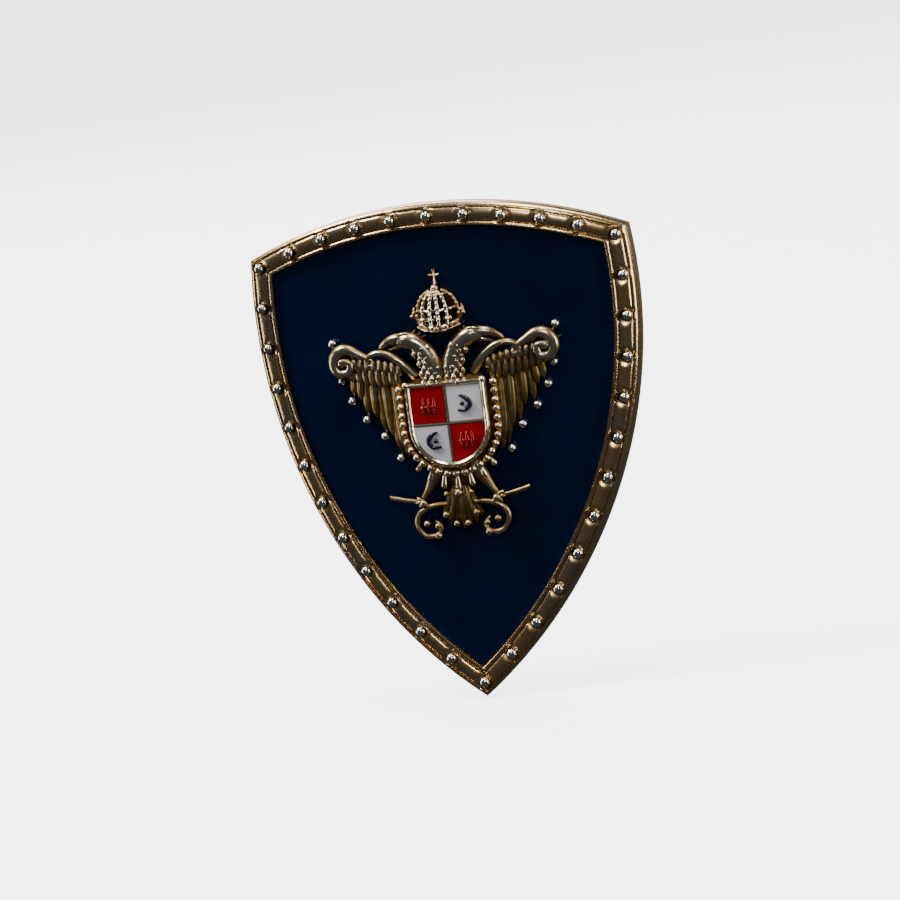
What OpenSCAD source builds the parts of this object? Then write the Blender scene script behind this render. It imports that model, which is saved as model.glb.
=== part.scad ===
// Shield-shaped enamelled cap badge: a bowed brass plate carries a blue enamel field, a studded
// border, a cast two-headed eagle with crown and quartered breast shield, and two threaded
// posts with washers and thumb nuts behind.
// Each module is drawn lying down (X across, Y up the badge, Z out of its face) and stood up at the end.

/* [Shield] */
// Half of the width between the two top corners
half_w = 19.5; // [17:0.1:23.4]
// Drop from the top corners to the bottom point
drop = 46; // [39:0.5:55]
// How far the top edge rises between its corners
top_rise = 4.3; // [3.5:0.1:5.2]
// How far each side bows out from its chord
side_bow = 6.6; // [5.5:0.1:7.9]
// Height of the top corners above the middle of the two posts
corner_y = 17.7; // [16.5:0.1:21]
// Radius to which the plate's back is bowed across its width
bow_r = 75; // [62:1:90]

/* [Layers] */
// Thickness of the brass plate
plate_t = 1.0; // [0.8:0.05:1.2]
// Thickness of the blue enamel
enamel_t = 0.8; // [0.6:0.05:1.0]
// Height of the border above the plate
border_t = 1.5; // [1.25:0.05:1.8]
// Width of the border
border_w = 2.4; // [2:0.1:2.9]
// Gap left between enamel and border
enamel_gap = 0.05; // [0.02:0.01:0.1]
// Thickness of the eagle's lower layer
eagle_t = 1.0; // [0.8:0.05:1.2]
// Extra height of the eagle's breast, legs and wing arms
eagle_rise = 0.6; // [0.5:0.05:0.7]

/* [Studs and pins] */
// Intervals between studs along the top edge
top_steps = 10; // [8:1:12]
// Intervals between studs down each side
side_steps = 12; // [10:1:14]
// Radius of a stud's round head
stud_r = 0.6; // [0.5:0.05:0.75]
// Radius of a stud's shank
shank_r = 0.35; // [0.3:0.05:0.4]
// Radius of the pins that hold the eagle
pin_r = 0.5; // [0.4:0.05:0.6]
// Gap round every shank, pin and peg
hole_gap = 0.02; // [0.01:0.01:0.05]
// Gap under every peened tail
tail_gap = 0.02; // [0.01:0.01:0.05]

/* [Breast shield] */
// Half width of the breast shield
tray_half_w = 4.2; // [3.5:0.1:4.4]
// Height of its top edge above its centre
tray_top = 4.3; // [3.6:0.1:4.4]
// Width of its gold rim
tray_rim = 0.6; // [0.5:0.05:0.7]
// Width of the bars between its quarters
tray_bar = 0.35; // [0.3:0.05:0.42]
// Thickness of the tray
tray_t = 1.0; // [0.85:0.05:1.2]
// Depth of the quarters' pockets
pocket_t = 0.5; // [0.4:0.05:0.6]
// Radius of a bead in the collar round it
bead_r = 0.41; // [0.36:0.01:0.43]
// Number of beads in the collar
collar_beads = 27; // [23:2:29]

/* [Crown] */
// Radius of the crown's round cap
crown_r = 2.5; // [2.1:0.1:2.7]
// Height of the crown's centre above the middle of the badge
crown_y = 11.4; // [11.2:0.1:12]

/* [Posts and nuts] */
// Distance between the two posts
post_spacing = 20; // [17:0.5:24]
// Outside radius of the thread
post_r = 1.25; // [1.1:0.05:1.5]
// Length of a post behind the seat plane, up to its plain tip
post_len = 6; // [5.5:0.1:7.2]
// Radius of the plain tip
tip_r = 1.0; // [0.8:0.05:1.05]
// Length of the plain tip
tip_len = 2; // [1.6:0.1:2.4]
// Radius of a post's foot
foot_r = 2.4; // [2:0.1:2.8]
// Thickness of a post's foot
foot_t = 0.6; // [0.5:0.05:0.7]
// Space left for the cloth between seat plane and washer
cloth_gap = 1.3; // [1:0.1:1.5]
// Radius of a washer
washer_r = 5; // [4.2:0.1:6]
// Thickness of a washer
washer_t = 0.5; // [0.4:0.05:0.6]
// Radius over a nut's knurling
nut_r = 3.8; // [3.2:0.1:4.5]
// Thickness of a nut's knurled disc
nut_t = 1.6; // [1.35:0.05:1.9]
// Radius of a nut's hub
hub_r = 2.3; // [1.95:0.05:2.75]
// Height of a nut's hub
hub_t = 0.8; // [0.65:0.05:0.95]
// Radial running gap between nut and thread
nut_gap = 0.05; // [0.03:0.01:0.08]
// Radial gap between washer and thread
washer_gap = 0.12; // [0.1:0.01:0.15]
// Teeth of the knurling
knurl_teeth = 36; // [24:1:48]
// Depth of the knurling
knurl_depth = 0.3; // [0.2:0.05:0.35]

/* [Hidden] */
$fn = 64;
gold = "goldenrod";
silver = "silver";
navy = "midnightblue";

far = 60;                                  // longer than anything that it has to cut
axis_z = -sqrt(bow_r * bow_r - half_w * half_w); // the bow's axis: the plate's side edges lie at Z 0
face_h = plate_t + enamel_t;               // heights are counted out from the plate's back
border_h = plate_t + border_t;
breast_h = face_h + eagle_t;
tray_h = breast_h + tray_t;
panel_h = tray_h - pocket_t / 5;           // the quarters' enamel lies a little below the rim
charge_t = 0.25;
peg_r = 0.5;
peg_l = 0.6;
turn_gap = 0.05;                           // between a nut and its washer

// ---- the shield's outline: three arcs, each drawn in by the inset ----
chord = norm([half_w, drop]);
side_r = (chord * chord / 4 + side_bow * side_bow) / (2 * side_bow);
side_c = [half_w / 2 - (side_r - side_bow) * drop / chord,
          corner_y - drop / 2 + (side_r - side_bow) * half_w / chord];
top_r = (half_w * half_w + top_rise * top_rise) / (2 * top_rise);
top_c = [0, corner_y + top_rise - top_r];

// where the right side's arc meets the top's, for arcs drawn in by d
function corner_at(d) =
    let (a = side_r - d, b = top_r - d, v = top_c - side_c, l = norm(v),
         u = v / l, m = (a * a - b * b + l * l) / (2 * l), h = sqrt(a * a - m * m))
    side_c + m * u + h * [-u[1], u[0]];
function tip_at(d) = [0, side_c[1] - sqrt(pow(side_r - d, 2) - side_c[0] * side_c[0])];
function bearing(c, p) = atan2(p[1] - c[1], p[0] - c[0]);

band_mid = border_w / 2;
stud_corner = corner_at(band_mid);
top_sweep = 90 - bearing(top_c, stud_corner);
side_from = bearing(side_c, stud_corner);
side_to = bearing(side_c, tip_at(band_mid));
function on_side(i) = side_c + (side_r - band_mid) *
    [cos(side_from + (side_to - side_from) * i / side_steps),
     sin(side_from + (side_to - side_from) * i / side_steps)];
stud_places = concat(
    [for (i = [0:top_steps]) let (t = top_sweep * (1 - 2 * i / top_steps))
        top_c + (top_r - band_mid) * [sin(t), cos(t)]],
    [for (i = [1:side_steps]) on_side(i)],
    [for (i = [1:side_steps - 1]) [-on_side(i)[0], on_side(i)[1]]]);

// ---- helpers ----
module stand_up() { rotate([90, 0, 0]) children(); }

module shield_prism(inset) {
    intersection() {
        translate([side_c[0], side_c[1], -far / 2]) cylinder(r = side_r - inset, h = far, $fn = 180);
        translate([-side_c[0], side_c[1], -far / 2]) cylinder(r = side_r - inset, h = far, $fn = 180);
        translate([top_c[0], top_c[1], -far / 2]) cylinder(r = top_r - inset, h = far, $fn = 180);
    }
}

// a bowed slab between two heights above the plate's back
module bowed(h0, h1) {
    translate([0, far, axis_z]) rotate([90, 0, 0]) difference() {
        cylinder(r = bow_r + h1, h = 2 * far, $fn = 360);
        translate([0, 0, -1]) cylinder(r = bow_r + h0, h = 2 * far + 2, $fn = 360);
        translate([-far * 2, -far * 4, -1]) cube([far * 4, far * 4, 2 * far + 2]);
    }
}

// a flat outline raised on the bowed face between two heights
module relief(h0, h1) {
    intersection() {
        bowed(h0, h1);
        linear_extrude(height = far / 2) children();
    }
}

// the point of the bowed surface over [x, y], with +Z straight out of it
module on_face(p, h = 0) {
    translate([0, p[1], axis_z]) rotate([0, asin(p[0] / (bow_r + face_h)), 0])
        translate([0, 0, bow_r + h]) children();
}

module both_sides() {
    children();
    mirror([1, 0, 0]) children();
}

// ---- plate, enamel and border ----
pin_places = [[0, 5.6], [-6.6, 5.2], [6.6, 5.2], [0, -6.2]];

module stud_holes() {
    for (p = stud_places) on_face(p, -1) cylinder(r = shank_r + hole_gap, h = border_h + 2, $fn = 24);
}
module pin_holes(h1) {
    for (p = pin_places) on_face(p, -1) cylinder(r = pin_r + hole_gap, h = h1 + 1, $fn = 24);
}
module crown_hole() {
    on_face([0, crown_y], face_h - enamel_t - peg_l)
        cylinder(r = peg_r + hole_gap, h = far / 4, $fn = 24);
}

module backing_plate() {
    color(gold) stand_up() difference() {
        intersection() {
            shield_prism(0);
            bowed(0, plate_t);
        }
        stud_holes();
        pin_holes(plate_t + 1);
        crown_hole();
    }
}

module enamel_field() {
    color(navy) stand_up() difference() {
        intersection() {
            shield_prism(border_w + enamel_gap);
            bowed(plate_t, face_h);
        }
        pin_holes(face_h + 1);
        crown_hole();
    }
}

module border_frame() {
    color(gold) stand_up() difference() {
        intersection() {
            shield_prism(0);
            bowed(plate_t, border_h);
        }
        shield_prism(border_w);
        stud_holes();
    }
}

module border_studs() {
    tail_r = shank_r * 1.7;
    tail_t = 0.3;
    head_h = stud_r * 0.9;
    color(silver) stand_up() for (p = stud_places) on_face(p) {
        rotate_extrude($fn = 32) union() {
            translate([0, -tail_t - tail_gap]) square([tail_r, tail_t]);
            translate([0, -tail_t]) square([shank_r, border_h + tail_t + head_h / 2]);
            intersection() {
                translate([0, border_h + tail_gap + head_h - stud_r]) circle(r = stud_r, $fn = 32);
                translate([0, border_h + tail_gap]) square([stud_r, head_h]);
            }
        }
    }
}

// ---- eagle ----
wing_beads_at = [[11.5, 8.7], [10.9, 4.9], [10.1, 2.8], [8.8, 0.8], [7.1, -1.0], [5.7, -3.3]];
wing_bead_r = 0.55;

// the right wing, with a feather's point beside each bead
module wing() {
    polygon([[3.2, 4.6], [4.4, 6.2], [5.6, 7.1], [6.9, 7.5], [8.0, 7.4], [8.8, 8.5], [9.6, 8.2],
             [10.3, 9.0], [10.9, 8.0], [11.6, 7.3], [11.2, 6.0], [10.1, 5.6], [9.9, 4.6],
             [9.1, 4.2], [9.2, 3.0], [8.3, 2.7], [8.0, 1.4], [7.2, 1.2], [6.6, -0.2],
             [5.9, 0.1], [5.4, -1.2], [3.2, -1.2]]);
}
module wing_arm() {
    polygon([[3.6, 4.9], [4.6, 6.0], [5.7, 6.9], [6.9, 7.3], [8.0, 7.2], [9.2, 7.9], [10.2, 8.2],
             [10.9, 7.2], [10.6, 6.4], [9.4, 6.5], [8.2, 6.0], [7.0, 6.1], [5.8, 5.6], [4.6, 4.7]]);
}
module neck_and_head() {
    polygon([[0.2, 5.4], [2.4, 5.4], [2.2, 6.9], [2.9, 7.9], [4.0, 8.0], [5.2, 8.1], [6.4, 7.9],
             [6.2, 8.6], [5.2, 9.1], [4.2, 9.6], [3.0, 9.6], [2.2, 9.0], [1.5, 8.0], [0.2, 8.0]]);
}
module body_outline() {
    polygon([[-3.4, 4.4], [-2.6, 7.4], [2.6, 7.4], [3.4, 4.4], [3.6, -2.4], [2.8, -4.6], [2.5, -6.2],
             [1.7, -6.7], [1.6, -8.2], [-1.6, -8.2], [-1.7, -6.7], [-2.5, -6.2], [-2.8, -4.6],
             [-3.6, -2.4]]);
}
// the leg, claw and half of the scroll below the tail
module claw() {
    polygon([[0, -7.6], [1.6, -7.7], [2.8, -7.2], [4.4, -7.2], [4.9, -7.5], [7.1, -6.8], [7.2, -7.3],
             [5.2, -8.2], [4.7, -8.5], [4.6, -10.2], [4.0, -11.6], [2.8, -11.9], [1.6, -11.7],
             [0.9, -10.9], [0, -11.1]]);
}

module eagle_casting() {
    color(gold) stand_up() difference() {
        union() {
            relief(face_h, breast_h) union() {
                body_outline();
                tray_outline(tray_half_w - collar_r - bead_r);
                both_sides() wing();
                both_sides() neck_and_head();
                both_sides() claw();
            }
            relief(breast_h - 0.1, breast_h + eagle_rise) both_sides() wing_arm();
            both_sides() on_face([3.5, 8.7], breast_h) sphere(r = 0.9, $fn = 24);
            both_sides() on_face([3.7, -8.3], breast_h) sphere(r = 0.75, $fn = 24);
            both_sides() on_face([3.0, -10.6], breast_h) sphere(r = 0.85, $fn = 24);
        }
        pin_holes(breast_h - 0.2);
        on_face([0, 0], breast_h - peg_l - hole_gap) cylinder(r = peg_r + hole_gap, h = 2, $fn = 24);
    }
}

module eagle_pins() {
    tail_r = pin_r * 1.7;
    tail_t = 0.35;
    color(gold) stand_up() for (p = pin_places) on_face(p) union() {
        translate([0, 0, -tail_t - tail_gap]) cylinder(r = tail_r, h = tail_t, $fn = 24);
        translate([0, 0, -tail_t]) cylinder(r = pin_r, h = breast_h - 0.4 + tail_t, $fn = 24);
    }
}

module wing_beads() {
    color(silver) stand_up() intersection() {
        bowed(face_h, face_h + 4);
        both_sides() for (p = wing_beads_at)
            on_face(p, face_h + wing_bead_r * 0.6) sphere(r = wing_bead_r, $fn = 24);
    }
}

// ---- crown ----
module crown() {
    color(gold) stand_up() union() {
        intersection() {
            bowed(face_h, face_h + 4);
            on_face([0, crown_y], face_h) sphere(r = crown_r, $fn = 48);
        }
        on_face([0, crown_y], plate_t - peg_l + hole_gap)
            cylinder(r = peg_r, h = peg_l + enamel_t + 0.5, $fn = 24);
    }
}

module crown_cross() {
    foot_y = crown_y + crown_r + hole_gap;
    color(gold) stand_up() relief(face_h, face_h + 0.7) union() {
        translate([-0.2, foot_y]) square([0.4, 1.5]);
        translate([-0.55, foot_y + 0.75]) square([1.1, 0.35]);
    }
}

// ---- breast shield and its collar ----
tray_side = -0.3;                            // where its straight sides end

module tray_outline(inset) {
    union() {
        translate([-tray_half_w + inset, tray_side])
            square([2 * (tray_half_w - inset), tray_top - inset - tray_side]);
        intersection() {
            translate([0, tray_side]) circle(r = tray_half_w - inset, $fn = 96);
            translate([-far / 2, tray_side - far / 2]) square([far, far / 2]);
        }
    }
}

module quarter(right, up) {
    intersection() {
        tray_outline(tray_rim);
        translate([right ? tray_bar / 2 : -far / 2 - tray_bar / 2,
                   up ? tray_bar / 2 : -far / 2 - tray_bar / 2])
            square([far / 2, far / 2]);
    }
}

module breast_tray() {
    color(gold) stand_up() union() {
        difference() {
            relief(breast_h, tray_h) tray_outline(0);
            for (q = [[true, true], [false, true], [true, false], [false, false]])
                relief(tray_h - pocket_t, tray_h + 1) quarter(q[0], q[1]);
        }
        on_face([0, 0], breast_h - peg_l) cylinder(r = peg_r, h = peg_l + 0.2, $fn = 24);
    }
}

module red_quarters() {
    color("firebrick") stand_up() {
        relief(tray_h - pocket_t, panel_h) quarter(false, true);
        relief(tray_h - pocket_t, panel_h) quarter(true, false);
    }
}

module pale_quarters() {
    color("gainsboro") stand_up() {
        relief(tray_h - pocket_t, panel_h) quarter(true, true);
        relief(tray_h - pocket_t, panel_h) quarter(false, false);
    }
}

// generic charges: a plain lozenge in each red quarter, a plain scroll in each pale one
charge_at = 1.75;
module lozenge() { polygon([[0, 1.1], [0.8, 0], [0, -1.1], [-0.8, 0]]); }
module scroll_mark() {
    difference() {
        circle(r = 0.95, $fn = 32);
        translate([0.3, 0.1]) circle(r = 0.6, $fn = 32);
    }
}

module red_charges() {
    color("darkred") stand_up() relief(panel_h, panel_h + charge_t) {
        translate([-charge_at, charge_at + 0.2]) lozenge();
        translate([charge_at, -charge_at + 0.1]) lozenge();
    }
}

module pale_charges() {
    color("dimgray") stand_up() relief(panel_h, panel_h + charge_t) {
        translate([charge_at, charge_at + 0.2]) scroll_mark();
        translate([-charge_at, -charge_at + 0.1]) scroll_mark();
    }
}

// the collar's beads run down one side of the breast shield, round its foot and up the other
collar_r = tray_half_w + bead_r + 0.25;
collar_up = tray_top - 0.6 - tray_side;
collar_len = 2 * collar_up + PI * collar_r;
function collar_at(s) =
    s < collar_up ? [-collar_r, tray_side + collar_up - s]
    : s > collar_len - collar_up ? [collar_r, tray_side + s - (collar_len - collar_up)]
    : let (a = 180 + (s - collar_up) / collar_r * 180 / PI)
        [collar_r * cos(a), tray_side + collar_r * sin(a)];

module bead_collar() {
    color(gold) stand_up() intersection() {
        bowed(breast_h, breast_h + 4);
        for (i = [0:collar_beads - 1])
            on_face(collar_at(collar_len * i / (collar_beads - 1)), breast_h + bead_r * 0.6)
                sphere(r = bead_r, $fn = 16);
    }
}

module collar_drop() {
    foot_y = tray_side - collar_r - bead_r;
    color(gold) stand_up() relief(breast_h, breast_h + 0.8)
        translate([0, foot_y - 0.85]) circle(r = 0.75, $fn = 32);
}

// ---- posts, washers and nuts: each drawn on the post's line, with Z 0 at the seat plane ----
back_z = bow_r + axis_z;                     // how far the plate's back stands in front of the seat
module on_post(side) { stand_up() translate([0, side * post_spacing / 2, 0]) children(); }

module post() {
    union() {
        translate([0, 0, back_z - tail_gap * 2 - foot_t]) cylinder(r = foot_r, h = foot_t, $fn = 64);
        translate([0, 0, -post_len]) cylinder(r = post_r, h = post_len + back_z - foot_t, $fn = 64);
        translate([0, 0, -post_len - tip_len]) cylinder(r = tip_r, h = tip_len, $fn = 64);
    }
}

module washer() {
    translate([0, 0, -cloth_gap - washer_t]) difference() {
        cylinder(r = washer_r, h = washer_t, $fn = 64);
        translate([0, 0, -1]) cylinder(r = post_r + washer_gap, h = washer_t + 2, $fn = 64);
    }
}

module nut() {
    disc_top = -cloth_gap - washer_t - turn_gap;
    difference() {
        union() {
            translate([0, 0, disc_top - nut_t]) linear_extrude(height = nut_t)
                polygon([for (i = [0:2 * knurl_teeth - 1]) let (a = i * 180 / knurl_teeth)
                    (nut_r - knurl_depth * (i % 2)) * [cos(a), sin(a)]]);
            translate([0, 0, disc_top - nut_t - hub_t]) cylinder(r = hub_r, h = hub_t, $fn = 64);
        }
        translate([0, 0, disc_top - nut_t - hub_t - 1])
            cylinder(r = post_r + nut_gap, h = nut_t + hub_t + 2, $fn = 64);
    }
}

module upper_post() { color(silver) on_post(1) post(); }
module lower_post() { color(silver) on_post(-1) post(); }
module upper_washer() { color(gold) on_post(1) washer(); }
module lower_washer() { color(gold) on_post(-1) washer(); }
module upper_nut() { color(gold) on_post(1) nut(); }
module lower_nut() { color(gold) on_post(-1) nut(); }

backing_plate();
enamel_field();
border_frame();
border_studs();
eagle_casting();
eagle_pins();
wing_beads();
crown();
crown_cross();
breast_tray();
red_quarters();
pale_quarters();
red_charges();
pale_charges();
bead_collar();
collar_drop();
upper_post();
lower_post();
upper_washer();
lower_washer();
upper_nut();
lower_nut();
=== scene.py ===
import bpy, bmesh, math
from mathutils import Matrix, Quaternion, Vector


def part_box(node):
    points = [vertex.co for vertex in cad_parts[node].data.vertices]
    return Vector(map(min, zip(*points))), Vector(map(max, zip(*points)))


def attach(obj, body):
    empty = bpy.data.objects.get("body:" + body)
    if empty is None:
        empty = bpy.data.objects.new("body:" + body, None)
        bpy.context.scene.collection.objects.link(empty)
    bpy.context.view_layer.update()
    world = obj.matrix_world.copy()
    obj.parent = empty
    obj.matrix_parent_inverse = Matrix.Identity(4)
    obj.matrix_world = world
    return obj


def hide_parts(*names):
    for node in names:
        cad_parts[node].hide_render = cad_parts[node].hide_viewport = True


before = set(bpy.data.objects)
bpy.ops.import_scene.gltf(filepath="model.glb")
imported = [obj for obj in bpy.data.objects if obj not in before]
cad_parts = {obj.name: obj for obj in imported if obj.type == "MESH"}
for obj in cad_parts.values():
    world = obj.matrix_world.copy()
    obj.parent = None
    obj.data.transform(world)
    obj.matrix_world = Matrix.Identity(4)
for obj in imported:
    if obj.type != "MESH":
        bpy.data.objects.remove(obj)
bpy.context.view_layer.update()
print("frame loaded")

# shared shape, in millimetres
shield = {
    "halfWidth": 19.5, "drop": 46.0, "topRise": 4.3, "sideBow": 6.6, "cornerUp": 17.7,
    "bowRadius": 75.0, "face": 1.8, "breast": 2.8, "tray": 3.8,
    "border": 2.5, "sideSteps": 230, "topSteps": 190,
}
bowAxis = -math.sqrt(shield["bowRadius"] ** 2 - shield["halfWidth"] ** 2)
chord = math.hypot(shield["halfWidth"], shield["drop"])
sideRadius = (chord ** 2 / 4 + shield["sideBow"] ** 2) / (2 * shield["sideBow"])
sideCentre = Vector((
    shield["halfWidth"] / 2 - (sideRadius - shield["sideBow"]) * shield["drop"] / chord,
    shield["cornerUp"] - shield["drop"] / 2 + (sideRadius - shield["sideBow"]) * shield["halfWidth"] / chord))
topRadius = (shield["halfWidth"] ** 2 + shield["topRise"] ** 2) / (2 * shield["topRise"])
topCentre = Vector((0, shield["cornerUp"] + shield["topRise"] - topRadius))


def cornerAt(inset):
    a, b = sideRadius - inset, topRadius - inset
    gap = topCentre - sideCentre
    far = gap.length
    u = gap / far
    m = (a * a - b * b + far * far) / (2 * far)
    return sideCentre + u * m + Vector((-u.y, u.x)) * math.sqrt(a * a - m * m)


def tipAt(inset):
    return Vector((0, sideCentre.y - math.sqrt((sideRadius - inset) ** 2 - sideCentre.x ** 2)))


def bearing(centre, point):
    return math.atan2(point.y - centre.y, point.x - centre.x)


def bowPoint(p):
    # a flat point (across, up, height over the plate's back) carried onto the bow, in metres
    out = shield["bowRadius"] + p.z
    turn = math.asin(p.x / out)
    return Vector((p.x, -(bowAxis + out * math.cos(turn)), p.y)) * 0.001


def faceMatrix(x, y, height):
    # a stiff placing on the bow: local Z leaves the face
    turn = math.asin(x / (shield["bowRadius"] + shield["face"]))
    out = shield["bowRadius"] + height
    place = Matrix.Translation((out * math.sin(turn), y, bowAxis + out * math.cos(turn)))
    return place @ Matrix.Rotation(turn, 4, "Y")


def standUp(p):
    return Vector((p.x, -p.z, p.y)) * 0.001


# mesh helpers
def newShape():
    # crest runs from 0 under a strand or bead to 1 on its top; the gilt finishes turn it into painted shade
    # underneath and a painted highlight on top. rise is the height over the face, for patina low in the relief
    bm = bmesh.new()
    return bm, bm.verts.layers.float.new("crest"), bm.verts.layers.float.new("rise")


def ringEdges(ring):
    # in a fixed order, so that every run builds the same mesh
    inside = set(ring)
    return list(dict.fromkeys(e for v in ring for e in v.link_edges if e.other_vert(v) in inside))


def loft(bm, stations, closed=False, capped=False):
    # one ring is drawn, then pulled from station to station
    count = len(stations[0])
    ring = bmesh.ops.create_circle(bm, cap_ends=False, radius=1, segments=count)["verts"]
    for v, p in zip(ring, stations[0]):
        v.co = p
    rings, edges = [ring], ringEdges(ring)
    for points in stations[1:]:
        made = bmesh.ops.extrude_edge_only(bm, edges=edges)["geom"]
        place = {v: i for i, v in enumerate(rings[-1])}
        fresh = [None] * count
        for v in [part for part in made if isinstance(part, bmesh.types.BMVert)]:
            for e in v.link_edges:
                if e.other_vert(v) in place:
                    fresh[place[e.other_vert(v)]] = v
        for v, p in zip(fresh, points):
            v.co = p
        rings.append(fresh)
        edges = ringEdges(fresh)
    if closed:
        bmesh.ops.weld_verts(bm, targetmap=dict(zip(rings[-1], rings[0])))
        rings.pop()
    if capped:
        for end in (rings[0], rings[-1]):
            bmesh.ops.contextual_create(bm, geom=ringEdges(end))
    return rings


def flow(points, steps):
    # a smooth run of stations through the given ones
    run = []
    last = len(points) - 1
    for i in range(steps + 1):
        t = i / steps * last
        k = min(int(t), last - 1)
        f = t - k
        a, b, c, d = points[max(k - 1, 0)], points[k], points[k + 1], points[min(k + 2, last)]
        run.append(tuple(0.5 * (2 * q + (r - p) * f + (2 * p - 5 * q + 4 * r - s) * f * f
                                + (3 * q - p - 3 * r + s) * f ** 3) for p, q, r, s in zip(a, b, c, d)))
    return run


def sweep(shape, points, steps=12, segments=10):
    # stations are across, up, height, half width, half thickness
    bm, crest = shape[:2]
    run = flow(points, steps)
    turns = [2 * math.pi * k / segments for k in range(segments)]
    stations = []
    for i, (x, y, h, w, t) in enumerate(run):
        w, t = max(w, 0.03), max(t, 0.03)
        along = (Vector(run[min(i + 1, steps)][:3]) - Vector(run[max(i - 1, 0)][:3])).normalized()
        side = along.cross(Vector((0, 0, 1))).normalized()
        up = side.cross(along)
        stations.append([Vector((x, y, h)) + side * w * math.cos(q) + up * t * math.sin(q) for q in turns])
    # the top of each strand gets crest 1 and its underside 0: a painted highlight on top, painted shade underneath
    for ring in loft(bm, stations, capped=True):
        for v, q in zip(ring, turns):
            v[crest] = 0.5 + 0.5 * math.sin(q)


def bead(shape, x, y, h, r, tall=1.0, cuts=12, stiff=False):
    bm, crest = shape[:2]
    place = faceMatrix(x, y, h) if stiff else Matrix.Translation((x, y, h))
    ball = bmesh.ops.create_uvsphere(bm, u_segments=cuts, v_segments=max(6, cuts * 2 // 3), radius=r)["verts"]
    # crest 1 on the ball's top and 0 underneath: a painted highlight on top, painted shade underneath
    for v in ball:
        v[crest] = 0.5 + 0.5 * v.co.z / r
    bmesh.ops.transform(bm, verts=ball, matrix=place @ Matrix.Diagonal((1, 1, tall, 1)))
    return ball


def shieldRing(inset, height):
    # down the right side, up the left, and back over the top
    corner, tip = cornerAt(inset), tipAt(inset)
    high, low = bearing(sideCentre, corner), bearing(sideCentre, tip)
    over = bearing(topCentre, corner)
    reach, topReach = sideRadius - inset, topRadius - inset
    n, m = shield["sideSteps"], shield["topSteps"]
    down = [high + (low - high) * k / n for k in range(n)]
    up = [low + (high - low) * k / n for k in range(n)]
    across = [math.pi - over + (2 * over - math.pi) * k / m for k in range(m)]
    ring = [(sideCentre.x + reach * math.cos(q), sideCentre.y + reach * math.sin(q)) for q in down]
    ring += [(-sideCentre.x - reach * math.cos(q), sideCentre.y + reach * math.sin(q)) for q in up]
    ring += [(topReach * math.cos(q), topCentre.y + topReach * math.sin(q)) for q in across]
    return [Vector((x, y, height)) for x, y in ring]


def sliceForBow(bm, faces, step=0.7, reach=19.6):
    # strips narrow enough to bend with the plate
    edges = list(dict.fromkeys(e for f in faces for e in f.edges))
    verts = list(dict.fromkeys(v for f in faces for v in f.verts))
    geom = list(faces) + edges + verts
    x = -reach
    while x < reach + 0.1:
        done = bmesh.ops.bisect_plane(bm, geom=geom, dist=1e-5, plane_co=(x, 0, 0), plane_no=(1, 0, 0))
        geom = done["geom"]
        x += step


def finishPiece(name, bm, body, material, nodes, bowed=True, smooth=45):
    bmesh.ops.recalc_face_normals(bm, faces=bm.faces)
    rise, crest = bm.verts.layers.float.get("rise"), bm.verts.layers.float.get("crest")
    if not crest:
        crest = bm.verts.layers.float.new("crest")
        for v in bm.verts:
            v[crest] = 0.8
    for v in bm.verts:
        if bowed:
            if rise:
                v[rise] = v.co.z - shield["face"]
            v.co = bowPoint(v.co)
    mesh = bpy.data.meshes.new(name)
    bm.to_mesh(mesh)
    bm.free()
    mesh.shade_smooth()
    mesh.set_sharp_from_angle(angle=math.radians(smooth))
    mesh.materials.append(material)
    piece = bpy.data.objects.new(name, mesh)
    bpy.context.scene.collection.objects.link(piece)
    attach(piece, body)
    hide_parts(*nodes)
    print("piece", name, len(mesh.polygons))


# shader helpers
class Wire:
    def __init__(self, tree, socket):
        self.tree, self.socket = tree, socket

    def sum(self, kind, a, b):
        return node(self.tree, "ShaderNodeMath", {"operation": kind}, {0: a, 1: b})

    def __add__(self, other): return self.sum("ADD", self, other)
    def __radd__(self, other): return self.sum("ADD", other, self)
    def __sub__(self, other): return self.sum("SUBTRACT", self, other)
    def __rsub__(self, other): return self.sum("SUBTRACT", other, self)
    def __mul__(self, other): return self.sum("MULTIPLY", self, other)
    def __rmul__(self, other): return self.sum("MULTIPLY", other, self)


def node(tree, kind, settings, inputs, out=0):
    made = tree.nodes.new(kind)
    for key, value in settings.items():
        if key == "stops":
            ramp = made.color_ramp
            while len(ramp.elements) < len(value):
                ramp.elements.new(0.5)
            for stop, (at, shade) in zip(ramp.elements, value):
                stop.position = at
                stop.color = (*shade, 1) if isinstance(shade, tuple) else (shade, shade, shade, 1)
        else:
            setattr(made, key, value)
    for key, value in inputs.items():
        if isinstance(value, Wire):
            tree.links.new(value.socket, made.inputs[key])
        else:
            made.inputs[key].default_value = value
    return Wire(tree, made.outputs[out])


def finish(name, build):
    mat = bpy.data.materials.new(name)
    mat.use_nodes = True
    tree = mat.node_tree
    tree.nodes.clear()
    spot = node(tree, "ShaderNodeTexCoord", {}, {}, "Object")
    surface = build(tree, spot)
    tree.links.new(surface.socket, tree.nodes.new("ShaderNodeOutputMaterial").inputs["Surface"])
    return mat


def noise(tree, spot, scale, detail=3.0, rough=0.5, out="Fac"):
    return node(tree, "ShaderNodeTexNoise", {}, {
        "Vector": spot, "Scale": scale, "Detail": detail, "Roughness": rough}, out)


def ramp(tree, value, stops):
    return node(tree, "ShaderNodeValToRGB", {"stops": stops}, {"Fac": value})


def blendShade(tree, amount, a, b):
    return node(tree, "ShaderNodeMix", {"data_type": "RGBA"}, {"Factor": amount, 6: a, 7: b}, 2)


def bump(tree, height, strength, distance):
    return node(tree, "ShaderNodeBump", {}, {
        "Height": height, "Strength": strength, "Distance": distance}, "Normal")


def attribute(tree, name):
    return node(tree, "ShaderNodeAttribute", {"attribute_name": name}, {}, "Fac")


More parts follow.
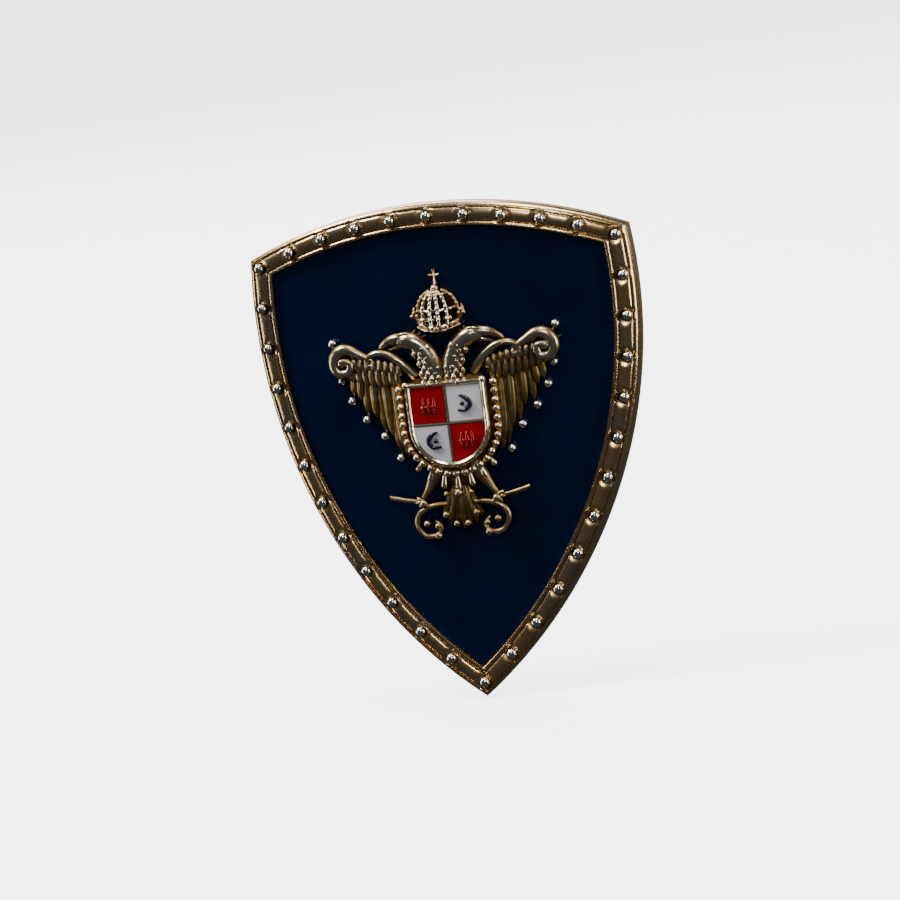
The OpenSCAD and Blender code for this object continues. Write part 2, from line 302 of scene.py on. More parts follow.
def castGilt(deep, body, bright, lowAt, highAt, tarnish=0.25, roughLow=0.18):
    def build(tree, spot):
        crest, rise = attribute(tree, "crest"), attribute(tree, "rise")
        cloud, grain = noise(tree, spot, 900, 4), noise(tree, spot, 9000, 2)
        # the colour ramp paints the metal: near black low in the relief (patina in the hollows) and under each
        # strand (painted shade), pale cream on each strand's top (painted highlight)
        height = crest * 0.62 + rise * 0.16 + cloud * tarnish - tarnish * 0.5
        colour = ramp(tree, height, [(lowAt, deep), ((lowAt + highAt) / 2, body), (highAt, bright)])
        rough = ramp(tree, height + grain * 0.1, [(lowAt, 0.62), (highAt, roughLow)])
        return node(tree, "ShaderNodeBsdfPrincipled", {}, {
            "Base Color": colour, "Metallic": 1.0, "Roughness": rough,
            "Normal": bump(tree, grain + cloud * 2, 0.35, 0.00003)})
    return build


def polishedGilt(base, shade, rough, scratch=0.12):
    def build(tree, spot):
        cloud, fine = noise(tree, spot, 260, 4), noise(tree, spot, 5200, 3)
        brushed = node(tree, "ShaderNodeMapping", {}, {"Vector": spot, "Scale": (5000.0, 5000.0, 300.0)})
        lines = noise(tree, brushed, 1.0, 2)
        # where the crest layer is low the colour turns near black: painted shade under beads and stud heads, in the
        # border's grooves, on its inner wall and round the studs
        paintedShadeMask = attribute(tree, "crest")
        colour = blendShade(tree, ramp(tree, cloud, [(0.38, 0.0), (0.66, 1.0)]), (*base, 1), (*shade, 1))
        unshaded = ramp(tree, paintedShadeMask + fine * 0.15, [(0.12, 0.0), (0.6, 1.0)])
        colour = blendShade(tree, unshaded, (0.02, 0.014, 0.008, 1), colour)
        return node(tree, "ShaderNodeBsdfPrincipled", {}, {
            "Base Color": colour, "Metallic": 1.0,
            "Roughness": ramp(tree, fine * 0.6 + cloud * 0.4, [(0.3, rough), (0.7, rough + 0.12)]),
            "Normal": bump(tree, lines + fine * 0.4, scratch, 0.00002)})
    return build


def glassEnamel(deep, light, depth=0.08, coat=0.35):
    def build(tree, spot):
        cloud, specks = noise(tree, spot, 120, 5, 0.55), noise(tree, spot, 2600, 2)
        colour = blendShade(tree, ramp(tree, cloud, [(0.35, 0.0), (0.7, 1.0)]), (*deep, 1), (*light, 1))
        return node(tree, "ShaderNodeBsdfPrincipled", {}, {
            "Base Color": colour, "Metallic": 0.0, "Coat Weight": coat, "Coat Roughness": 0.02,
            "Specular IOR Level": 0.35,
            "Roughness": ramp(tree, specks, [(0.3, depth), (0.75, depth + 0.1)]),
            "Normal": bump(tree, cloud * 3 + specks * 0.15, 0.10, 0.00004)})
    return build


finishes = {
    "castGilt": finish("antiqueCastGilt", castGilt(
        (0.008, 0.006, 0.003), (0.36, 0.22, 0.07), (1.0, 0.84, 0.60), 0.48, 1.0, 0.38)),
    "crownGilt": finish("antiqueCrownGilt", castGilt(
        (0.012, 0.007, 0.004), (0.56, 0.33, 0.09), (1.0, 0.86, 0.62), 0.34, 0.92, 0.3)),
    "collarGilt": finish("collarGilt", castGilt(
        (0.04, 0.02, 0.008), (0.80, 0.48, 0.13), (1.0, 0.86, 0.58), 0.26, 0.86)),
    "borderGilt": finish("polishedBorderGilt", polishedGilt((0.80, 0.49, 0.20), (0.50, 0.36, 0.22), 0.20)),
    "plateBrass": finish("brushedPlateBrass", polishedGilt((0.58, 0.38, 0.15), (0.40, 0.26, 0.11), 0.30, 0.3)),
    # the pale colour of the wing-tip beads and stud heads stands for the light they catch: a painted highlight on
    # the gilt
    "paleBeadHighlight": finish("brightBeadMetal", polishedGilt((0.90, 0.84, 0.72), (0.80, 0.72, 0.58), 0.12)),
    "postMetal": finish("platedPostMetal", polishedGilt((0.74, 0.71, 0.66), (0.58, 0.56, 0.52), 0.22)),
    "nutBrass": finish("turnedNutBrass", polishedGilt((0.72, 0.48, 0.19), (0.56, 0.38, 0.15), 0.22)),
    "navy": finish("navyGlassEnamel", glassEnamel((0.0004, 0.0032, 0.021), (0.0008, 0.0066, 0.037))),
    "red": finish("redGlassEnamel", glassEnamel((0.22, 0.001, 0.003), (0.40, 0.004, 0.008))),
    "pale": finish("paleGlassEnamel", glassEnamel((0.50, 0.50, 0.54), (0.80, 0.78, 0.78))),
    "ink": finish("darkInlay", glassEnamel((0.006, 0.007, 0.016), (0.02, 0.022, 0.04))),
}
print("finishes made")

# studs along the border
studs = {"head": 0.52, "topCount": 10, "sideCount": 12, "line": 1.2, "tailFlat": 0.42}


def studPlaces():
    corner, tip = cornerAt(studs["line"]), tipAt(studs["line"])
    swing = math.pi / 2 - bearing(topCentre, corner)
    spots = []
    for i in range(studs["topCount"] + 1):
        t = swing * (1 - 2 * i / studs["topCount"])
        spots.append((topCentre.x + (topRadius - studs["line"]) * math.sin(t),
                      topCentre.y + (topRadius - studs["line"]) * math.cos(t)))
    a, b = bearing(sideCentre, corner), bearing(sideCentre, tip)
    for i in range(1, studs["sideCount"] + 1):
        t = a + (b - a) * i / studs["sideCount"]
        x = sideCentre.x + (sideRadius - studs["line"]) * math.cos(t)
        y = sideCentre.y + (sideRadius - studs["line"]) * math.sin(t)
        spots.append((x, y))
        if i < studs["sideCount"]:
            spots.append((-x, y))
    return spots


spots = studPlaces()
shape = newShape()
for x, y in spots:
    bead(shape, x, y, shield["border"] + 0.05, studs["head"], 0.85, 16, True)
    # the peened tail behind the plate
    bead(shape, x, y, -0.04, studs["head"] * 1.05, studs["tailFlat"], 12, True)
# most of each stud head gets the painted highlight, with painted shade only low on its side
for v in shape[0].verts:
    v[shape[1]] = min(1.0, v[shape[1]] * 1.6)
    v.co = standUp(v.co)
finishPiece("borderStudHeads", shape[0], "badge", finishes["paleBeadHighlight"],
            ["border_studs"], bowed=False)

# border
border = {
    # how far in from the edge, and how high
    "profile": [
        (0.00, 1.00), (0.00, 2.02), (0.04, 2.12), (0.12, 2.22), (0.30, 2.34), (0.38, 2.35), (0.44, 2.27),
        (0.52, 2.27), (0.60, 2.37), (0.75, 2.43), (0.90, 2.465), (1.05, 2.49), (1.20, 2.50), (1.35, 2.49),
        (1.50, 2.465), (1.65, 2.43), (1.78, 2.37), (1.86, 2.27), (1.94, 2.27), (2.00, 2.36), (2.12, 2.42),
        (2.26, 2.41), (2.36, 2.32), (2.40, 2.20), (2.40, 1.00)],
    "grooves": (0.48, 1.90), "dimple": 0.16, "dimpleRadius": 0.95}
shape = newShape()
bm = shape[0]
loft(bm, [shieldRing(inset, height) for inset, height in border["profile"] + border["profile"][:1]], closed=True)
# the crest layer on the border is painted shade: dark in the two grooves, on the inner wall above the enamel and in
# a ring round each stud; the dimples themselves are geometry
for v in bm.verts:
    near = min(math.hypot(v.co.x - x, v.co.y - y) for x, y in spots)
    groove = 1.0
    inset = sideRadius - (v.co.xy - Vector((math.copysign(sideCentre.x, -v.co.x), sideCentre.y))).length
    inset = min(inset, topRadius - (v.co.xy - topCentre).length)
    for line in border["grooves"]:
        groove = min(groove, abs(inset - line) / 0.12)
    if v.co.z < 1.9 and inset > 1:
        groove = 0.1
    if v.co.z > 2 and near < border["dimpleRadius"]:
        sink = 1 - near / border["dimpleRadius"]
        v.co.z -= border["dimple"] * math.sin(min(1, sink * 2.2) * math.pi / 2)
        groove = min(groove, max(0.0, (near - 0.5) / 0.35))
    v[shape[1]] = max(0.0, min(1.0, groove))
finishPiece("studdedBorder", bm, "badge", finishes["borderGilt"], ["border_frame"], smooth=35)

# plate and enamel
plate = {"profile": [(0.10, 0.0), (0.03, 0.03), (0.0, 0.10), (0.0, 0.92), (0.05, 0.99)], "unshaded": 0.9}
bm = newShape()[0]
rings = loft(bm, [shieldRing(inset, height) for inset, height in plate["profile"]])
caps = [bmesh.ops.contextual_create(bm, geom=ringEdges(ring))["faces"][0] for ring in rings[::len(rings) - 1]]
crest = bm.verts.layers.float["crest"]
for v in bm.verts:
    v[crest] = plate["unshaded"]
sliceForBow(bm, caps)
finishPiece("bowedPlate", bm, "badge", finishes["plateBrass"], ["backing_plate"], smooth=30)

enamel = {"profile": [(2.46, 1.02), (2.46, 1.86), (2.50, 1.89), (2.62, 1.85), (2.80, 1.81), (3.05, 1.79)]}
bm = newShape()[0]
rings = loft(bm, [shieldRing(inset, height) for inset, height in enamel["profile"]])
caps = [bmesh.ops.contextual_create(bm, geom=ringEdges(ring))["faces"][0] for ring in rings[::len(rings) - 1]]
sliceForBow(bm, caps)
finishPiece("navyField", bm, "badge", finishes["navy"], ["enamel_field"], smooth=30)

# eagle
eagle = {"base": 2.15}
base = eagle["base"]


def feather(shape, root, tip, width, low, high, lean=0.25):
    (x0, y0), (x1, y1) = root, tip
    mx, my = (x0 + x1) / 2 + lean * width, (y0 + y1) / 2
    sweep(shape, [(x0, y0, low, width * 0.45, high * 0.6),
                  (x0 * 0.7 + mx * 0.3, y0 * 0.7 + my * 0.3, low + 0.06, width * 0.85, high),
                  (mx, my, low + 0.08, width, high),
                  (x1 * 0.7 + mx * 0.3, y1 * 0.7 + my * 0.3, low + 0.04, width * 0.9, high * 0.9),
                  (x1, y1, low - 0.05, width * 0.25, high * 0.35)], 9, 10)
    # its raised shaft
    top = low + high
    sweep(shape, [(x0, y0, top - 0.1, 0.05, 0.06), (mx, my, top + 0.08, 0.09, 0.09),
                  (x1 * 0.85 + mx * 0.15, y1 * 0.85 + my * 0.15, top - 0.12, 0.04, 0.05)], 6, 6)


shape = newShape()
for side in (1, -1):
    def at(x, y):
        return (x * side, y)
    # long feathers, each ending at its bead, then the shorter rows above them
    roots = [(9.9, 6.9), (9.0, 6.9), (8.0, 6.9), (6.9, 6.8), (5.9, 6.3), (4.9, 5.2)]
    ends = [(10.75, 5.5), (9.85, 3.4), (8.6, 1.4), (6.95, -0.4), (5.6, -2.6), (4.9, -3.2)]
    for r, e in zip(roots, ends):
        feather(shape, at(*r), at(*e), 0.56, base, 0.42, 0.3 * side)
    for k in range(5):
        r = [(a + b) / 2 for a, b in zip(roots[k], roots[k + 1])]
        e = [(a + b) / 2 for a, b in zip(ends[k], ends[k + 1])]
        feather(shape, at(*r), at(e[0] - 0.05, e[1] + 0.5), 0.48, base + 0.22, 0.36, 0.3 * side)
    for k in range(8):
        t = k / 7
        x = 9.7 - 4.8 * t
        y = 6.9 - 0.8 * t * t
        long = 2.2 + 0.5 * math.sin(t * 3.1)
        feather(shape, at(x, y), at(x - 0.15, y - long), 0.40, base + 0.50, 0.36, 0.3 * side)
    for k in range(9):
        t = k / 8
        x = 9.9 - 5.3 * t
        y = 7.15 - 0.9 * t * t
        feather(shape, at(x, y), at(x - 0.1, y - 1.15), 0.34, base + 0.76, 0.32, 0.2 * side)
    # the arm of the wing with its two curls
    sweep(shape, [(3.0 * side, 4.9, base + 0.6, 0.55, 0.6), (4.2 * side, 6.3, base + 0.85, 0.50, 0.55),
                  (5.5 * side, 7.3, base + 0.95, 0.42, 0.50), (6.9 * side, 7.55, base + 0.95, 0.34, 0.42),
                  (7.9 * side, 7.0, base + 0.9, 0.30, 0.36), (7.7 * side, 6.3, base + 0.9, 0.26, 0.30),
                  (7.1 * side, 6.45, base + 0.9, 0.20, 0.24)], 22, 12)
    sweep(shape, [(7.4 * side, 6.9, base + 0.8, 0.35, 0.40), (8.6 * side, 7.5, base + 0.90, 0.48, 0.46),
                  (9.9 * side, 8.15, base + 0.95, 0.60, 0.54), (11.0 * side, 7.8, base + 1.0, 0.62, 0.56),
                  (11.45 * side, 6.7, base + 1.0, 0.60, 0.54), (10.9 * side, 5.75, base + 1.0, 0.54, 0.50),
                  (9.9 * side, 5.9, base + 1.0, 0.46, 0.44), (9.75 * side, 6.8, base + 1.05, 0.40, 0.40),
                  (10.5 * side, 6.95, base + 1.15, 0.42, 0.40)], 34, 12)
    bead(shape, 10.55 * side, 6.85, base + 1.1, 0.5, 0.8, 12)
    for k in range(5):
        a = math.radians(20 + 34 * k)
        sweep(shape, [((10.4 + 0.9 * math.cos(a)) * side, 6.9 + 0.9 * math.sin(a), base + 0.9, 0.24, 0.4),
                      ((10.4 + 1.45 * math.cos(a)) * side, 6.9 + 1.45 * math.sin(a), base + 0.6, 0.16, 0.28),
                      ((10.4 + 1.8 * math.cos(a)) * side, 6.9 + 1.8 * math.sin(a), base + 0.2, 0.05, 0.12)], 6, 8)
    # neck, head and beak
    sweep(shape, [(0.9 * side, 4.2, base + 0.5, 1.25, 0.9), (1.05 * side, 5.8, base + 0.8, 1.15, 0.95),
                  (1.5 * side, 7.1, base + 0.85, 1.0, 0.9), (2.3 * side, 8.1, base + 0.9, 0.90, 0.88),
                  (3.3 * side, 8.6, base + 0.95, 0.92, 0.88), (4.3 * side, 8.55, base + 0.85, 0.62, 0.62)], 18, 14)
    sweep(shape, [(3.5 * side, 8.85, base + 1.0, 0.60, 0.56), (4.6 * side, 8.85, base + 1.0, 0.54, 0.52),
                  (5.5 * side, 8.6, base + 0.9, 0.42, 0.42), (6.25 * side, 8.1, base + 0.7, 0.26, 0.28),
                  (6.45 * side, 7.6, base + 0.5, 0.07, 0.09)], 14, 12)
    sweep(shape, [(3.7 * side, 8.2, base + 0.8, 0.42, 0.42), (4.7 * side, 7.95, base + 0.7, 0.32, 0.32),
                  (5.6 * side, 7.6, base + 0.55, 0.10, 0.12)], 9, 10)
    sweep(shape, [(2.9 * side, 9.25, base + 1.35, 0.12, 0.12), (3.6 * side, 9.35, base + 1.5, 0.16, 0.14),
                  (4.4 * side, 9.15, base + 1.35, 0.08, 0.08)], 8, 8)
    bead(shape, 3.65 * side, 8.85, base + 1.70, 0.20, 0.9, 10)
    for k in range(3):
        sweep(shape, [((2.8 - 0.35 * k) * side, 9.1 - 0.25 * k, base + 0.75, 0.26, 0.40),
                      ((2.5 - 0.55 * k) * side, 9.55 - 0.3 * k, base + 0.5, 0.05, 0.10)], 4, 8)
    # small overlapping feathers down the neck and breast
    for row in range(8):
        y = 8.0 - row * 0.52
        for col in range(3):
            x = 0.45 + col * 0.68 + (0.34 if row % 2 else 0) + max(0, (y - 6.2)) * 0.42
            if x < 2.4 + max(0, (y - 6.2)) * 0.3:
                sweep(shape, [(x * side, y, base + 1.45 - 0.12 * abs(col - 1), 0.16, 0.16),
                              (x * side, y - 0.3, base + 1.62 - 0.12 * abs(col - 1), 0.30, 0.18),
                              (x * side, y - 0.62, base + 1.50 - 0.12 * abs(col - 1), 0.08, 0.08)], 5, 8)
    # legs, claws and the bars they hold
    sweep(shape, [(1.7 * side, -4.2, base + 0.2, 0.95, 0.6), (2.5 * side, -5.6, base + 0.3, 0.75, 0.6),
                  (3.2 * side, -6.7, base + 0.4, 0.45, 0.5), (3.8 * side, -7.5, base + 0.5, 0.32, 0.4)], 12, 12)
    sweep(shape, [(4.3 * side, -7.85, base + 0.45, 0.26, 0.30), (5.6 * side, -7.6, base + 0.65, 0.24, 0.28),
                  (7.3 * side, -7.2, base + 0.75, 0.27, 0.30)], 10, 10)
    for dx, dy in [(0.75, 0.45), (0.95, -0.15), (0.55, -0.75), (-0.5, -0.8)]:
        sweep(shape, [(3.8 * side, -7.8, base + 0.6, 0.26, 0.3),
                      ((3.8 + dx * 0.6) * side, -7.8 + dy * 0.6, base + 0.85, 0.20, 0.22),
                      ((3.8 + dx) * side, -7.8 + dy, base + 0.45, 0.05, 0.06)], 7, 8)
    # the scroll beside the tail
    sweep(shape, [(1.5 * side, -8.3, base + 0.3, 0.30, 0.40), (2.9 * side, -8.35, base + 0.5, 0.32, 0.42),
                  (4.3 * side, -8.95, base + 0.6, 0.32, 0.42), (4.75 * side, -10.1, base + 0.6, 0.32, 0.42),
                  (4.05 * side, -11.3, base + 0.6, 0.30, 0.40), (2.8 * side, -11.35, base + 0.6, 0.28, 0.36),
                  (2.3 * side, -10.5, base + 0.6, 0.22, 0.30), (2.9 * side, -9.9, base + 0.6, 0.18, 0.26)], 28, 10)
    for x, y, r in [(3.8, -8.0, 0.40), (1.6, -9.3, 0.34), (0.6, -10.3, 0.34), (3.7, -10.1, 0.36),
                    (2.65, -11.35, 0.40), (2.6, -10.4, 0.30), (1.3, -7.2, 0.28)]:
        bead(shape, x * side, y, base + 0.95, r, 0.9, 12)
# tail fan
for k in range(7):
    a = math.radians(-90 + (k - 3) * 13)
    end = (3.9 * math.cos(a) * 0.8, -6.6 + 4.2 * math.sin(a))
    feather(shape, (0.25 * (k - 3), -6.6), end, 0.42, base + 0.1 * (k % 2), 0.42, 0)
bead(shape, 0, -7.2, base + 1.0, 0.44, 0.9, 14)
# breast behind the shield
sweep(shape, [(0, 4.6, base + 0.2, 3.9, 0.55), (0, 2.0, base + 0.25, 4.6, 0.55),
              (0, -0.6, base + 0.25, 4.7, 0.55), (0, -3.2, base + 0.2, 3.9, 0.55),
              (0, -5.4, base, 2.2, 0.5), (0, -6.6, base - 0.1, 0.9, 0.35)], 16, 20)
finishPiece("castEagle", shape[0], "badge", finishes["castGilt"], ["eagle_casting"], smooth=60)

# beads at the feathers' tips
tips = {"places": [(11.5, 8.7), (10.9, 4.9), (10.1, 2.8), (8.8, 0.8), (7.1, -1.0), (5.7, -3.3)], "bead": 0.46}

shape = newShape()
for side in (1, -1):
    for x, y in tips["places"]:
        bead(shape, x * side, y, shield["face"] + 0.45, tips["bead"], 1.0, 14, True)
for v in shape[0].verts:
    v.co = standUp(v.co)
finishPiece("wingTipBeads", shape[0], "badge", finishes["paleBeadHighlight"], ["wing_beads"], bowed=False)

# pins behind the eagle
pins = {"places": [(0, 5.6), (-6.6, 5.2), (6.6, 5.2), (0, -6.2)], "radius": 0.85, "flat": 0.42}
shape = newShape()
for x, y in pins["places"]:
    bead(shape, x, y, -0.02, pins["radius"], pins["flat"], 16, True)
for v in shape[0].verts:
    v[shape[1]] = 0.9
    v.co = standUp(v.co)
finishPiece("peenedPins", shape[0], "badge", finishes["plateBrass"], ["eagle_pins"], bowed=False)

# crown and cross
crown = {"up": 11.4, "across": 2.3, "tall": 3.15, "arches": 6, "foot": -1.25, "hoops": (0.30, 0.72)}


def domePoint(s, t, lift=0.0):
    # s runs across the dome from -1 to 1, t from its foot to its top
    q = t * math.pi / 2
    narrow = math.cos(q) ** 0.8 if t < 1 else 0.0
    x = s * crown["across"] * (0.86 + 0.14 * math.sin(2 * q)) * narrow
    y = crown["up"] + crown["foot"] + crown["tall"] * math.sin(q) - 0.28 * (1 - s * s) * (1 - t)
    h = shield["face"] + 0.45 + lift + 1.85 * math.sqrt(max(0.0, 1 - s * s)) * (0.35 + 0.65 * narrow)
    return x, y, h


shape = newShape()
inner = bead(shape, 0, crown["up"] + 0.25, shield["face"] + 0.1, 1.95, 0.70, 24)
# the dome under the arches takes the darkest end of the gilt ramp: painted shade inside the crown, on top of the
# patina from its low height
for v in inner:
    v[shape[1]] = 0.0
for k in range(crown["arches"]):
    s = -1 + 2 * k / (crown["arches"] - 1)
    sweep(shape, [(*domePoint(s, t / 8), 0.17, 0.19) for t in range(9)], 18, 8)
    for j in range(1, 8):
        bead(shape, *domePoint(s, j / 8.4, 0.10), 0.25 if j % 2 else 0.20, 1.0, 8)
for t in crown["hoops"]:
    sweep(shape, [(*domePoint(-1 + k / 6, t), 0.13, 0.15) for k in range(13)], 24, 8)
# the band, its jewels and the leaves that stand on it
for dy, w in ((-1.55, 0.20), (-2.0, 0.16)):
    half, up = 2.0 - 0.1 * (dy + 1.55), crown["up"] + dy
    sweep(shape, [(x, up + y, shield["face"] + h, w, 0.35) for x, y, h in (
        (-half, 0.30, 0.6), (-1.1, 0.02, 1.45), (0, -0.08, 1.75), (1.1, 0.02, 1.45), (half, 0.30, 0.6))], 20, 8)
for k in range(9):
    s = -1 + k / 4
    x, y, h = 1.85 * s, crown["up"] - 1.78 + 0.3 * s * s, shield["face"] + 1.85 - 1.05 * s * s
    bead(shape, x, y, h, 0.21 if k % 2 else 0.27, 1.0, 8)
for s in (-1, -0.5, 0, 0.5, 1):
    x, y, h = 2.15 * s, crown["up"] - 1.1 + 0.45 * s * s, shield["face"] + 1.95 - 1.2 * s * s
    for dx, dy in ((0, 0.45), (-0.28, 0.12), (0.28, 0.12)):
        bead(shape, x + dx + 0.25 * s, y + dy, h, 0.22, 0.9, 8)
bead(shape, 0, crown["up"] + 2.1, shield["face"] + 0.75, 0.42, 1.0, 14)
for side in (-1, 1):
    sweep(shape, [(2.0 * side, crown["up"] - 1.1, shield["face"] + 0.4, 0.30, 0.35),
                  (2.5 * side, crown["up"] - 0.4, shield["face"] + 0.45, 0.26, 0.30),
                  (2.45 * side, crown["up"] + 0.35, shield["face"] + 0.4, 0.05, 0.08)], 8, 8)
finishPiece("openworkCrown", shape[0], "badge", finishes["crownGilt"], ["crown"], smooth=60)

# the cross: up or across from its foot, half width, half thickness
cross = {"foot": 2.52, "lift": 0.35, "bar": 0.9,
         "upright": [(0, 0.20, 0.3), (0.5, 0.11, 0.2), (1.1, 0.11, 0.2), (1.5, 0.20, 0.24)],
         "arms": [(-0.54, 0.17, 0.22), (0, 0.10, 0.18), (0.54, 0.17, 0.22)]}
shape = newShape()
low, lift = crown["up"] + cross["foot"], shield["face"] + cross["lift"]
sweep(shape, [(0, low + y, lift, w, t) for y, w, t in cross["upright"]], 10, 8)
sweep(shape, [(x, low + cross["bar"], lift, w, t) for x, w, t in cross["arms"]], 8, 8)
# the painted shade under the cross is kept light, with the painted highlight on top
for v in shape[0].verts:
    v[shape[1]] = 0.3 + 0.7 * v[shape[1]]
finishPiece("crownCross", shape[0], "badge", finishes["crownGilt"], ["crown_cross"], smooth=60)

# breast shield
breast = {"half": 4.2, "top": 4.3, "low": -0.3, "bar": 0.15, "barThick": 0.16}


def trayRing(inset, height):
    half, top = breast["half"] - inset, breast["top"] - inset
    foot = [Vector((half * math.cos(q), breast["low"] + half * math.sin(q), height))
               for q in [-math.pi * k / 48 for k in range(49)]]
    left = [Vector((-half, breast["low"] + (top - breast["low"]) * k / 10, height)) for k in range(1, 11)]
    upper = [Vector((half * q, top, height)) for q in (-0.9, -0.75, -0.5, -0.25, 0, 0.25, 0.5, 0.75, 0.9)]
    right = [Vector((half, top + (breast["low"] - top) * k / 10, height)) for k in range(10)]
    return foot + left + upper + right


shape = newShape()
bm = shape[0]
tall = shield["tray"]
rings = loft(bm, [trayRing(inset, h) for inset, h in [
    (0.05, 2.2), (0.0, tall - 0.25), (0.06, tall - 0.08), (0.2, tall + 0.06), (0.36, tall + 0.06),
    (0.5, tall - 0.06), (0.6, tall - 0.2), (0.62, tall - 0.5)]])
bmesh.ops.contextual_create(bm, geom=ringEdges(rings[-1]))
# a painted highlight on the rim's top rings, painted shade down both walls and on the floor inside
for level, ring in zip((0.2, 0.5, 0.8, 1.0, 1.0, 0.7, 0.3, 0.0), rings):
    for v in ring:
        v[shape[1]] = level
for places in (((0, 3.75), (0, 0), (0, -4.0)), ((-3.65, 0), (0, 0), (3.65, 0))):
    sweep(shape, [(x, y, tall - 0.18, breast["bar"], breast["barThick"]) for x, y in places], 10, 8)
for side in (1, -1):
    bead(shape, 4.0 * side, 4.15, tall + 0.02, 0.34, 0.9, 12)
finishPiece("breastShieldTray", bm, "badge", finishes["collarGilt"], ["breast_tray"], smooth=40)

for name, paint in (("red_quarters", "red"), ("pale_quarters", "pale")):
    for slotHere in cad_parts[name].material_slots:
        slotHere.material = finishes[paint]

redMarks = {"places": ((-1.78, 1.95), (1.72, -1.7)), "strokes": (-0.55, 0.0, 0.55)}
shape = newShape()
for x, y in redMarks["places"]:
    for dx in redMarks["strokes"]:
        sweep(shape, [(x + dx, y - 0.75, tall, 0.10, 0.14), (x + dx, y, tall, 0.20, 0.20),
                      (x + dx, y + 0.75, tall, 0.06, 0.1)], 8, 8)
    sweep(shape, [(x - 0.85, y - 0.15, tall, 0.08, 0.12), (x, y - 0.15, tall + 0.04, 0.12, 0.16),
                  (x + 0.85, y - 0.15, tall, 0.08, 0.12)], 8, 8)
finishPiece("redCharges", shape[0], "badge", finishes["red"], ["red_charges"], smooth=60)

paleMarks = {"places": ((1.85, 2.0, 1), (-1.7, -1.55, -1)), "dot": 0.26}
shape = newShape()
for x, y, flip in paleMarks["places"]:
    sweep(shape, [(x - 0.7 * flip, y - 0.75, tall - 0.02, 0.10, 0.14), (x + 0.15 * flip, y - 0.75, tall, 0.22, 0.2),
                  (x + 0.6 * flip, y - 0.1, tall, 0.28, 0.22), (x + 0.15 * flip, y + 0.5, tall, 0.24, 0.2),
                  (x - 0.45 * flip, y + 0.75, tall - 0.02, 0.08, 0.12)], 18, 10)
    bead(shape, x - 0.2 * flip, y - 0.1, tall, paleMarks["dot"], 0.8, 10)
finishPiece("paleCharges", shape[0], "badge", finishes["ink"], ["pale_charges"], smooth=60)

# collar and its drops
collar = {"reach": 4.9, "below": 0.6, "beads": 27, "bead": 0.40}
straight = breast["top"] - collar["below"] - breast["low"]
whole = 2 * straight + math.pi * collar["reach"]


def collarSpot(s):
    if s < straight:
        return -collar["reach"], breast["low"] + straight - s
    if s > whole - straight:
        return collar["reach"], breast["low"] + s - (whole - straight)
    a = math.pi + (s - straight) / collar["reach"]
    return collar["reach"] * math.cos(a), breast["low"] + collar["reach"] * math.sin(a)


shape = newShape()
sweep(shape, [(*collarSpot(whole * k / 40), shield["breast"] - 0.05, 0.34, 0.28) for k in range(41)], 80, 8)
# the band under the beads is darkened: painted shade between the beads
for v in shape[0].verts:
    v[shape[1]] *= 0.35
for k in range(collar["beads"]):
    x, y = collarSpot(whole * k / (collar["beads"] - 1))
    bead(shape, x, y, shield["breast"] + 0.28, collar["bead"], 1.0, 12)
finishPiece("beadedCollar", shape[0], "badge", finishes["collarGilt"], ["bead_collar"], smooth=60)

drops = {"eachSide": 3, "apart": 15, "short": 1.15, "extra": 0.45}
shape = newShape()
for k in range(-drops["eachSide"], drops["eachSide"] + 1):
    a = math.radians(-90 + k * drops["apart"])
    x0, y0 = collar["reach"] * math.cos(a), breast["low"] + collar["reach"] * math.sin(a)
    long = drops["short"] + drops["extra"] * (1 - abs(k) / drops["eachSide"])
    x1, y1 = x0 + long * math.cos(a) * 0.6, y0 + long * math.sin(a)
    h = shield["breast"]
    sweep(shape, [(x0, y0, h, 0.14, 0.16), ((x0 + x1) / 2, (y0 + y1) / 2, h + 0.05, 0.24, 0.24),
                  (x1, y1, h + 0.05, 0.30, 0.30), (x1 * 1.02, y1 - 0.28, h, 0.06, 0.08)], 9, 10)
finishPiece("collarDrops", shape[0], "badge", finishes["collarGilt"], ["collar_drop"], smooth=60)
print("front done")

# posts, washers and nuts
post = {"spacing": 20.0, "thread": 1.25, "root": 0.98, "pitch": 0.5, "steps": 28, "length": 6.0,
        "tip": 1.0, "tipLength": 2.0, "foot": 2.4, "footThick": 0.6}
# radius and depth, from the front face backward
washer = {"front": -1.3, "profile": [
    (1.38, -0.06), (1.5, 0), (2.6, 0), (2.8, -0.06), (3.0, 0), (4.88, 0), (5.0, -0.12), (5.0, -0.4),
    (4.9, -0.5), (4.3, -0.5), (4.2, -0.46), (4.1, -0.5), (1.5, -0.5), (1.38, -0.44), (1.38, -0.06)]}
# radius, depth and how deep the knurl cuts there
nut = {"front": -1.85, "teeth": 36, "profile": [
    (1.31, -0.15, 0), (1.5, 0, 0), (2.4, 0, 0), (2.5, -0.07, 0), (2.6, 0, 0), (3.35, 0, 0),
    (3.75, -0.28, 0.22), (3.8, -0.36, 0.3), (3.8, -1.24, 0.3), (3.75, -1.32, 0.22), (3.35, -1.6, 0),
    (2.45, -1.6, 0), (2.3, -1.68, 0), (2.3, -2.2, 0), (2.1, -2.4, 0), (1.5, -2.4, 0),
    (1.31, -2.25, 0), (1.31, -0.15, 0)]}
backFace = shield["bowRadius"] + bowAxis


def turned(bm, profile, steps=48):
    # a closed turning of radius and height stations about Z
    verts = [bm.verts.new((r, 0, z)) for r, z in profile]
    edges = [bm.edges.new(pair) for pair in zip(verts, verts[1:])]
    bmesh.ops.spin(bm, geom=verts + edges, cent=(0, 0, 0), axis=(0, 0, 1), dvec=(0, 0, 0), angle=2 * math.pi,
                   steps=steps, use_duplicate=False, use_normal_flip=False, use_merge=True)
    bmesh.ops.remove_doubles(bm, verts=bm.verts, dist=0.0005)


